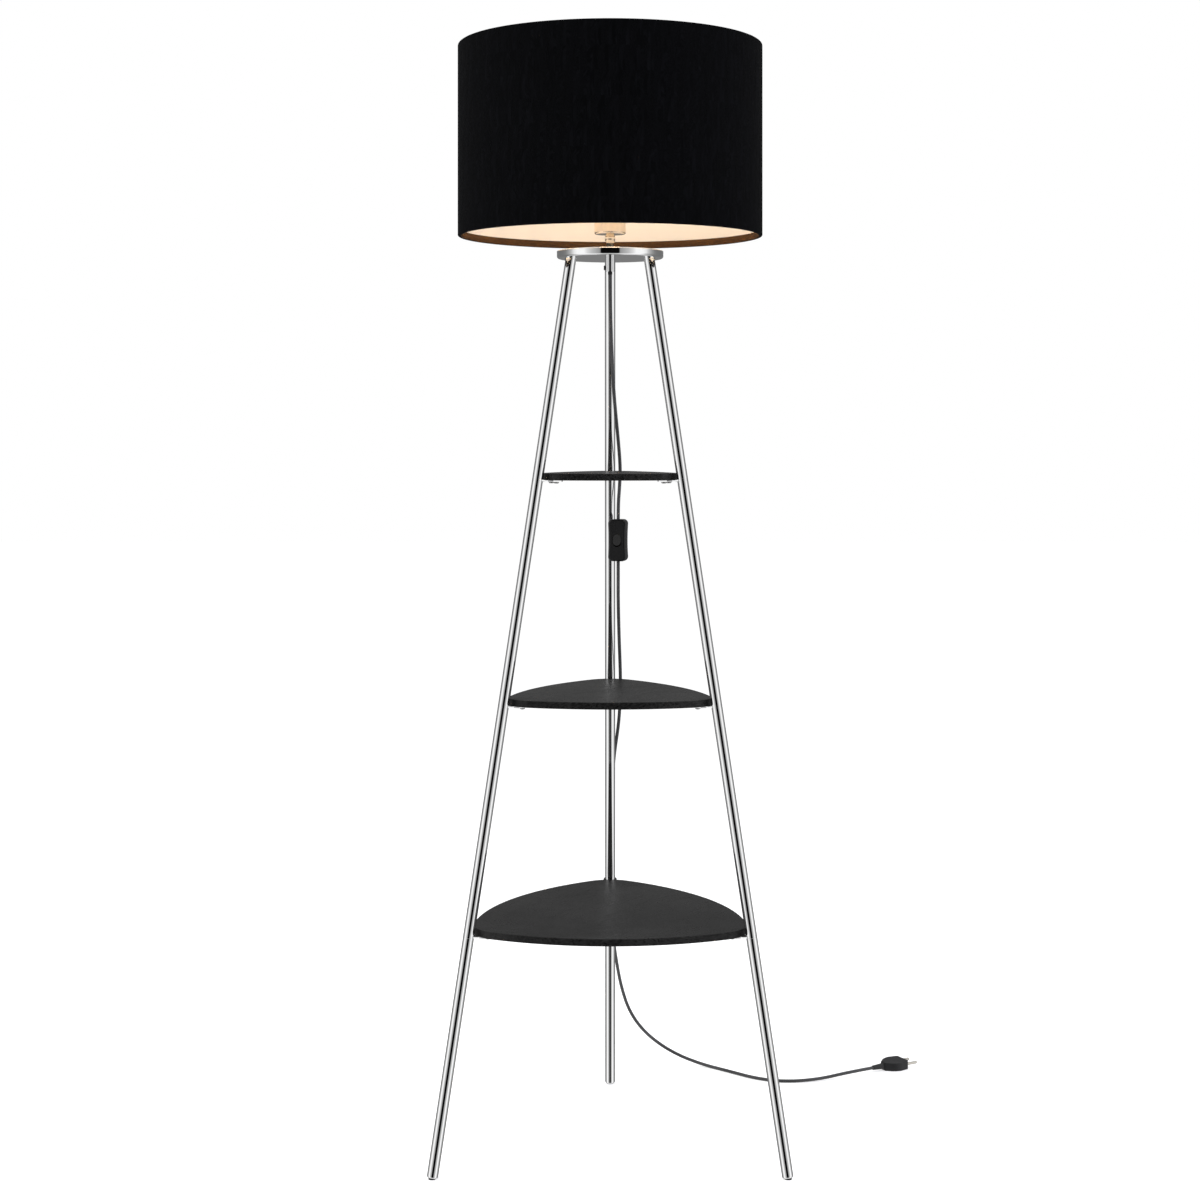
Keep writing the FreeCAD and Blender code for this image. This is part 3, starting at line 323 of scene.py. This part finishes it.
satinMaterial = plasticFinish("satinPlastic", (0.0042, 0.0042, 0.0046), (0.24, 0.36))
rockerMaterial = plasticFinish("rockerPlastic", (0.004, 0.004, 0.004), (0.05, 0.10), 900, 0.00001, 0.9)
rubberMaterial = plasticFinish("plugRubber", (0.014, 0.014, 0.015), (0.42, 0.55))
holderMaterial = plasticFinish("moulding", (0.62, 0.55, 0.42), (0.32, 0.45))
ceramicMaterial = plasticFinish("ceramic", (0.78, 0.75, 0.68), (0.25, 0.5), 500, 0.0001)
wireMaterial = plasticFinish("wireSheath", (0.30, 0.12, 0.05), (0.35, 0.5))
enamelMaterial = plasticFinish("whiteEnamel", (0.80, 0.79, 0.76), (0.28, 0.4), 600, 0.00008)
dress(satinMaterial, "switch_front", "switch_back", "cord_clip", "cord_bush", "leg_glides", "grip_screw")
dress(rockerMaterial, "switch_rocker")
dress(rubberMaterial, "plug_body")
dress(holderMaterial, "holder_base", "holder_sleeve", "shade_nut_lower", "shade_nut_upper")
dress(ceramicMaterial, "holder_insert")
dress(wireMaterial, "lead_wires")
dress(enamelMaterial, "shade_carrier", "shade_top_hoop")
print("plastics finished")


# bulb, lit

bulbSettings = {"colour": (1.0, 0.66, 0.36, 1), "strength": 17.0}


def bulbFinish(settings):
    material, tree, shader = newMaterial("opalGlass", {
        "Base Color": (0.9, 0.86, 0.78, 1), "Coat Weight": 0.6, "Coat Roughness": 0.06,
        "Emission Color": settings["colour"]})
    place = objectPlace(tree)
    cloud = noise(tree, place, 60, 3)
    tree.links.new(spread(tree, cloud, 0.25, 0.4), shader.inputs["Roughness"])
    tree.links.new(spread(tree, cloud, 0.94 * settings["strength"], 1.06 * settings["strength"]),
                   shader.inputs["Emission Strength"])
    return material


dress(bulbFinish(bulbSettings), "bulb_glass")
print("bulb lit")


# shade

shadeSettings = {
    "radius": 0.200,
    "base": 1.194,
    "height": 0.250,
    "wall": 0.0009,
    "hemDepth": 0.0057,
    "hemHeight": 0.0095,
    "hemReach": 0.003,                      # cloth further in than this is hem
    "slitShare": 0.0045,                    # half a slit's width, as a share of a third of the drum
    "slitHeight": 0.0096,
    "liningFace": 0.1981,
    "steps": 288,
    "cloth": (0.0012, 0.0013, 0.0017, 1),
    "clothLight": (0.0050, 0.0052, 0.0066, 1),
    # the hem's brown colours are painted warm light: the same black cloth as the bulb lights it
    "hem": (0.075, 0.036, 0.016, 1),
    "hemLight": (0.13, 0.070, 0.028, 1),
    "threadPitch": 0.00072,
    "cut": (1.257, 0.278),
    "lining": (0.93, 0.875, 0.79, 1),
}


def clothFinish(name, settings, dark, light, sheen):
    material, tree, shader = newMaterial(name, {
        "Specular IOR Level": 0.04, "Sheen Weight": sheen, "Sheen Roughness": 0.5})
    place = addNode(tree, "UVMap", uv_map="weave").outputs["UV"]
    sway = noise(tree, place, 130, 2)
    split = addNode(tree, "SeparateXYZ", {"Vector": place})
    turns = 2 * math.pi / settings["threadPitch"]
    wander = calculate(tree, "MULTIPLY", sway, 2.6)

    def threads(socket, factor):
        count = calculate(tree, "MULTIPLY", split.outputs[socket], turns * factor)
        return calculate(tree, "SINE", calculate(tree, "ADD", count, wander))

    across, along = threads("X", 1.0), threads("Y", 1.06)
    weave = calculate(tree, "ADD", calculate(tree, "MULTIPLY", across, along), calculate(
        tree, "MULTIPLY", calculate(tree, "ADD", across, along), 0.35))
    weft = noise(tree, addNode(tree, "Mapping", {"Vector": place, "Scale": (520, 1500, 1)}).outputs[0], 1, 4, 0.6)
    warp = noise(tree, addNode(tree, "Mapping", {"Vector": place, "Scale": (1400, 520, 1)}).outputs[0], 1, 4, 0.6)
    slub = calculate(tree, "MAXIMUM", weft, warp)
    body = addNode(tree, "MapRange", {
        "Value": slub, "From Min": 0.48, "From Max": 0.78, "To Min": 0, "To Max": 1}).outputs["Result"]
    height = calculate(tree, "ADD", calculate(tree, "MULTIPLY", weave, 0.5), calculate(tree, "MULTIPLY", body, 0.9))
    tree.links.new(blendBy(tree, body, settings[dark], settings[light]), shader.inputs["Base Color"])
    tree.links.new(spread(tree, slub, 0.62, 0.85), shader.inputs["Roughness"])
    bump(tree, shader, height, 0.00022, 0.8)
    return material


def liningFinish(settings):
    material, tree, shader = newMaterial("liningSheet", {"Specular IOR Level": 0.35})
    place = objectPlace(tree)
    cloud = noise(tree, place, 14, 3)
    fibre = noise(tree, objectPlace(tree, (1, 1, 0.3)), 420, 3)
    deep = [0.95 * part for part in settings["lining"][:3]] + [1]
    tree.links.new(blendBy(tree, spread(tree, cloud, 0, 1), settings["lining"], deep), shader.inputs["Base Color"])
    tree.links.new(spread(tree, fibre, 0.45, 0.6), shader.inputs["Roughness"])
    bump(tree, shader, fibre, 0.00006, 0.4)
    return material


def clothProfile(settings):
    outside = settings["radius"] - settings["wall"] / 2
    inside = settings["radius"] - settings["hemDepth"] + settings["wall"] / 2
    lining = settings["liningFace"] - settings["wall"] / 2
    low, high = settings["wall"] / 2, settings["height"] - settings["wall"] / 2
    bend = 0.0011
    side = [(lining, settings["hemHeight"]), (inside + 0.0006, 0.0056), (inside, 0.0048), (inside, low + bend)]
    for step in range(1, 5):                # inner bend, then the outer one
        angle = math.radians(180 + 22.5 * step)
        side.append((inside + bend + bend * math.cos(angle), low + bend + bend * math.sin(angle)))
    for step in range(5):
        angle = math.radians(270 + 22.5 * step)
        side.append((outside - bend + bend * math.cos(angle), low + bend + bend * math.sin(angle)))
    wall = [(outside, low + bend + (high - low - 2 * bend) * part / 8) for part in range(1, 8)]
    top = [(radius, settings["height"] - height) for radius, height in reversed(side)]
    return side + wall + top


def addTree(name, inputs):
    tree = bpy.data.node_groups.new(name, "GeometryNodeTree")
    tree.interface.new_socket("Geometry", in_out="INPUT", socket_type="NodeSocketGeometry")
    ids = {}
    for label, kind in inputs.items():
        socket = tree.interface.new_socket(label, in_out="INPUT", socket_type="NodeSocket" + kind)
        ids[label] = socket.identifier
    tree.interface.new_socket("Geometry", in_out="OUTPUT", socket_type="NodeSocketGeometry")
    start = tree.nodes.new("NodeGroupInput")
    return tree, start, ids


def geometryNode(tree, kind, values=None, **settings):
    made = tree.nodes.new(kind if kind.startswith("ShaderNode") else "GeometryNode" + kind)
    for key, value in settings.items():
        setattr(made, key, value)
    for socket, value in (values or {}).items():
        if isinstance(value, bpy.types.NodeSocket):
            tree.links.new(value, made.inputs[socket])
        else:
            made.inputs[socket].default_value = value
    return made


def endTree(tree, geometry, material):
    real = geometryNode(tree, "RealizeInstances", {"Geometry": geometry})
    painted = geometryNode(tree, "SetMaterial", {"Geometry": real.outputs[0], "Material": material})
    end = tree.nodes.new("NodeGroupOutput")
    tree.links.new(painted.outputs[0], end.inputs["Geometry"])


def growMesh(name, base, tree, ids, values):
    modifier = base.modifiers.new("grow", "NODES")
    modifier.node_group = tree
    for label, value in values.items():
        modifier[ids[label]] = value
    bpy.context.view_layer.update()
    mesh = bpy.data.meshes.new_from_object(base.evaluated_get(bpy.context.evaluated_depsgraph_get()))
    base.modifiers.clear()
    bpy.data.objects.remove(base)
    mesh.name = name
    return addObject(name, mesh)


def axisOf(tree, axis):
    place = geometryNode(tree, "InputPosition").outputs[0]
    return geometryNode(tree, "ShaderNodeSeparateXYZ", {0: place}).outputs[axis]


def clothTree(material):
    tree, start, ids = addTree("drumCloth", {
        "Steps": "Int", "Rows": "Int", "Base": "Float", "Setback": "Float", "Radius": "Float",
        "Slit Share": "Float", "Slit Height": "Float", "Hem Reach": "Float"})
    steps, rows = start.outputs["Steps"], start.outputs["Rows"]
    grid = geometryNode(tree, "MeshGrid", {
        "Size X": 1.0, "Size Y": 1.0, "Vertices X": calculate(tree, "ADD", steps, 1), "Vertices Y": rows})
    index = geometryNode(tree, "InputIndex").outputs[0]
    row = calculate(tree, "MODULO", index, rows)
    column = calculate(tree, "FLOOR", calculate(tree, "DIVIDE", index, rows))
    halfStep = calculate(tree, "ADD", column, 0.5)
    angle = calculate(tree, "MULTIPLY", calculate(tree, "DIVIDE", halfStep, steps), 2 * math.pi)
    profile = geometryNode(tree, "CurveToPoints", {"Curve": start.outputs["Geometry"]}, mode="EVALUATED")
    place = geometryNode(tree, "InputPosition").outputs[0]
    onLine = geometryNode(tree, "SampleIndex", {
        "Geometry": profile.outputs["Points"], "Value": place, "Index": row}, data_type="FLOAT_VECTOR")
    split = geometryNode(tree, "ShaderNodeSeparateXYZ", {0: onLine.outputs["Value"]})
    across = calculate(tree, "MULTIPLY", split.outputs["X"], calculate(tree, "COSINE", angle))
    out = calculate(tree, "MULTIPLY", split.outputs["X"], calculate(tree, "SINE", angle))
    deep = calculate(tree, "ADD", out, start.outputs["Setback"])
    up = calculate(tree, "ADD", split.outputs["Z"], start.outputs["Base"])
    spot = geometryNode(tree, "ShaderNodeCombineXYZ", {"X": across, "Y": deep, "Z": up})
    length = geometryNode(tree, "SplineParameter").outputs["Length"]
    run = geometryNode(tree, "CaptureAttribute", {"Geometry": start.outputs["Geometry"]}, domain="POINT")
    run.capture_items.new("FLOAT", "run")
    tree.links.new(length, run.inputs["run"])
    linePoints = geometryNode(tree, "CurveToPoints", {"Curve": run.outputs["Geometry"]}, mode="EVALUATED")
    runHere = geometryNode(tree, "SampleIndex", {
        "Geometry": linePoints.outputs["Points"], "Value": run.outputs["run"], "Index": row}, data_type="FLOAT")
    girth = calculate(tree, "MULTIPLY", calculate(tree, "DIVIDE", column, steps),
                   calculate(tree, "MULTIPLY", start.outputs["Radius"], 2 * math.pi))
    flat = geometryNode(tree, "ShaderNodeCombineXYZ", {"X": girth, "Y": runHere.outputs["Value"]})
    marked = geometryNode(tree, "StoreNamedAttribute", {
        "Geometry": grid.outputs["Mesh"], "Name": "weave", "Value": flat.outputs[0]},
        data_type="FLOAT2", domain="CORNER")
    moved = geometryNode(tree, "SetPosition", {"Geometry": marked.outputs[0], "Position": spot.outputs[0]})
    # the slits for the carrier's arms
    fromAxis = calculate(tree, "SUBTRACT", axisOf(tree, "Y"), start.outputs["Setback"])
    turn = calculate(tree, "SUBTRACT", calculate(tree, "ARCTAN2", fromAxis, axisOf(tree, "X")), math.pi / 2)
    wholeTurns = 100.5                      # keeps the fraction positive, with an arm at its middle
    third = calculate(tree, "FRACT", calculate(
        tree, "ADD", calculate(tree, "DIVIDE", turn, 2 * math.pi / 3), wholeTurns))
    near = calculate(tree, "COMPARE", third, 0.5, start.outputs["Slit Share"])
    hemTop = calculate(tree, "ADD", start.outputs["Base"], start.outputs["Slit Height"])
    lowPart = calculate(tree, "LESS_THAN", axisOf(tree, "Z"), hemTop)
    level = geometryNode(tree, "ShaderNodeCombineXYZ", {"X": axisOf(tree, "X"), "Y": fromAxis})
    far = geometryNode(tree, "ShaderNodeVectorMath", {0: level.outputs[0]}, operation="LENGTH").outputs["Value"]
    inner = calculate(tree, "LESS_THAN", far, calculate(
        tree, "SUBTRACT", start.outputs["Radius"], start.outputs["Hem Reach"]))
    slit = calculate(tree, "MULTIPLY", near, calculate(tree, "MULTIPLY", lowPart, inner))
    cut = geometryNode(tree, "DeleteGeometry", {"Geometry": moved.outputs[0], "Selection": slit}, domain="FACE")
    closed = geometryNode(tree, "MergeByDistance", {"Geometry": cut.outputs[0], "Distance": 0.00002})
    endTree(tree, closed.outputs[0], material)
    return tree, ids


def makeCloth(settings, material):
    line = bpy.data.curves.new("clothProfile", "CURVE")
    line.dimensions = "3D"
    profile = clothProfile(settings)
    spline = line.splines.new("POLY")
    spline.points.add(len(profile) - 1)
    for point, (radius, height) in zip(spline.points, profile):
        point.co = (radius, 0, height, 1)
    tree, ids = clothTree(material)
    cloth = growMesh("shadeCloth", addObject("clothProfile", line), tree, ids, {
        "Steps": settings["steps"], "Rows": len(profile), "Base": settings["base"],
        "Setback": lampAxis.y, "Radius": settings["radius"], "Slit Share": settings["slitShare"],
        "Slit Height": settings["slitHeight"], "Hem Reach": settings["hemReach"]})
    thick = cloth.modifiers.new("thickness", "SOLIDIFY")
    thick.thickness = settings["wall"]
    thick.offset = 0
    cloth.data.shade_smooth()
    return cloth


def paintHem(cloth, outer, hem, settings):      # the turned-in cloth, whose brown colour is painted warm light from the bulb over the same weave
    cloth.data.materials.clear()
    for material in (outer, hem):
        cloth.data.materials.append(material)
    for face in cloth.data.polygons:
        middle = face.center - lampAxis
        inside = middle.to_2d().length < settings["radius"] - settings["hemReach"]
        face.material_index = 1 if inside else 0


clothMaterial = clothFinish("wovenCloth", shadeSettings, "cloth", "clothLight", 0.006)
# the hem material paints the bulb's warm light onto the turned-in black cloth
hemWarmLightMaterial = clothFinish("hemPaintedWarmLight", shadeSettings, "hem", "hemLight", 0.0)
shadeCloth = makeCloth(shadeSettings, clothMaterial)
paintHem(shadeCloth, clothMaterial, hemWarmLightMaterial, shadeSettings)
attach(shadeCloth, "lamp")
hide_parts("shade_fabric")
shadeCloth.visible_glossy = False        # keeps the legs' tops clear of its dark reflection
dress(liningFinish(shadeSettings), "shade_lining")
print("shade covered:", len(shadeCloth.data.polygons), "faces")


# studio

studioSettings = {
    "world": 0.62,
    "floor": (0.86, 0.86, 0.86, 1),
    "floorGlow": 0.50,
    "reflection": [                     # what the metal sees, from in front of the lamp round to behind it
        (0.0, 0.002), (0.108, 0.003), (0.122, 0.31), (0.167, 0.42), (0.222, 0.54), (0.278, 0.74),
        (0.325, 1.0), (0.42, 1.0), (0.47, 0.84), (0.50, 0.62), (0.54, 0.42), (0.578, 0.31),
        (0.617, 0.22), (0.667, 0.18), (0.78, 0.165), (1.0, 0.20)],
    "overhead": [(0.0, 0.7), (0.12, 0.7), (0.2, 0.0), (0.80, 0.0), (0.88, 1.0)],
    "lamps": [
        {"name": "leftBox", "place": (-2.8, -0.9, 2.0), "size": 1.8, "power": 38,
         "tint": (1.0, 1.0, 1.0)},
        {"name": "rightBox", "place": (2.8, -0.8, 1.7), "size": 1.8, "power": 32,
         "tint": (0.80, 0.82, 1.0)},
        {"name": "topBox", "place": (0.0, 0.3, 3.4), "size": 2.2, "power": 24,
         "tint": (1.0, 1.0, 1.0)},
    ],
}


def makeStudio(settings):
    world = bpy.data.worlds.new("studio")
    world.use_nodes = True
    scene.world = world
    tree = world.node_tree
    background = tree.nodes["Background"]
    rays = addNode(tree, "LightPath")
    way = addNode(tree, "SeparateXYZ", {"Vector": addNode(tree, "TexCoord").outputs["Generated"]})
    turn = calculate(tree, "ARCTAN2", way.outputs["X"], calculate(tree, "MULTIPLY", way.outputs["Y"], -1.0))
    away = calculate(tree, "DIVIDE", calculate(tree, "ABSOLUTE", turn), math.pi)
    around = ramp(tree, away, settings["reflection"])
    height = ramp(tree, calculate(tree, "MULTIPLY_ADD", way.outputs["Z"], 0.5, 0.5), settings["overhead"])
    reflection = blendBy(tree, height, around, (0.9, 0.9, 0.9, 1))
    level = settings["world"]
    plain = (level, level, level, 1)
    seen = calculate(tree, "MAXIMUM", rays.outputs["Is Camera Ray"], rays.outputs["Is Transmission Ray"])
    glossy = blendBy(tree, rays.outputs["Is Glossy Ray"], plain, reflection)
    tree.links.new(blendBy(tree, seen, glossy, (1, 1, 1, 1)), background.inputs["Color"])

    data = bpy.data.meshes.new("floor")
    data.from_pydata([(-14, -14, 0), (14, -14, 0), (14, 14, 0), (-14, 14, 0)], [], [(0, 1, 2, 3)])
    floor = addObject("floor", data)
    material, tree, shader = newMaterial("whiteFloor", {
        "Base Color": settings["floor"], "Roughness": 0.9, "Specular IOR Level": 0.0,
        "Emission Color": (1, 1, 1, 1)})
    rays = addNode(tree, "LightPath")
    tree.links.new(calculate(tree, "MULTIPLY", calculate(
        tree, "MAXIMUM", rays.outputs["Is Camera Ray"], rays.outputs["Is Transmission Ray"]),
        settings["floorGlow"]), shader.inputs["Emission Strength"])
    data.materials.append(material)
    floor.visible_glossy = False

    for lamp in settings["lamps"]:
        light = bpy.data.lights.new(lamp["name"], "AREA")
        light.size = lamp["size"]
        light.energy = lamp["power"]
        light.color = lamp["tint"]
        box = addObject(lamp["name"], light)
        box.location = lamp["place"]
        aim = Vector((0, 0, 0.75)) - Vector(lamp["place"])
        box.rotation_euler = aim.to_track_quat("-Z", "Y").to_euler()
        box.visible_glossy = False


makeStudio(studioSettings)
print("studio lit")
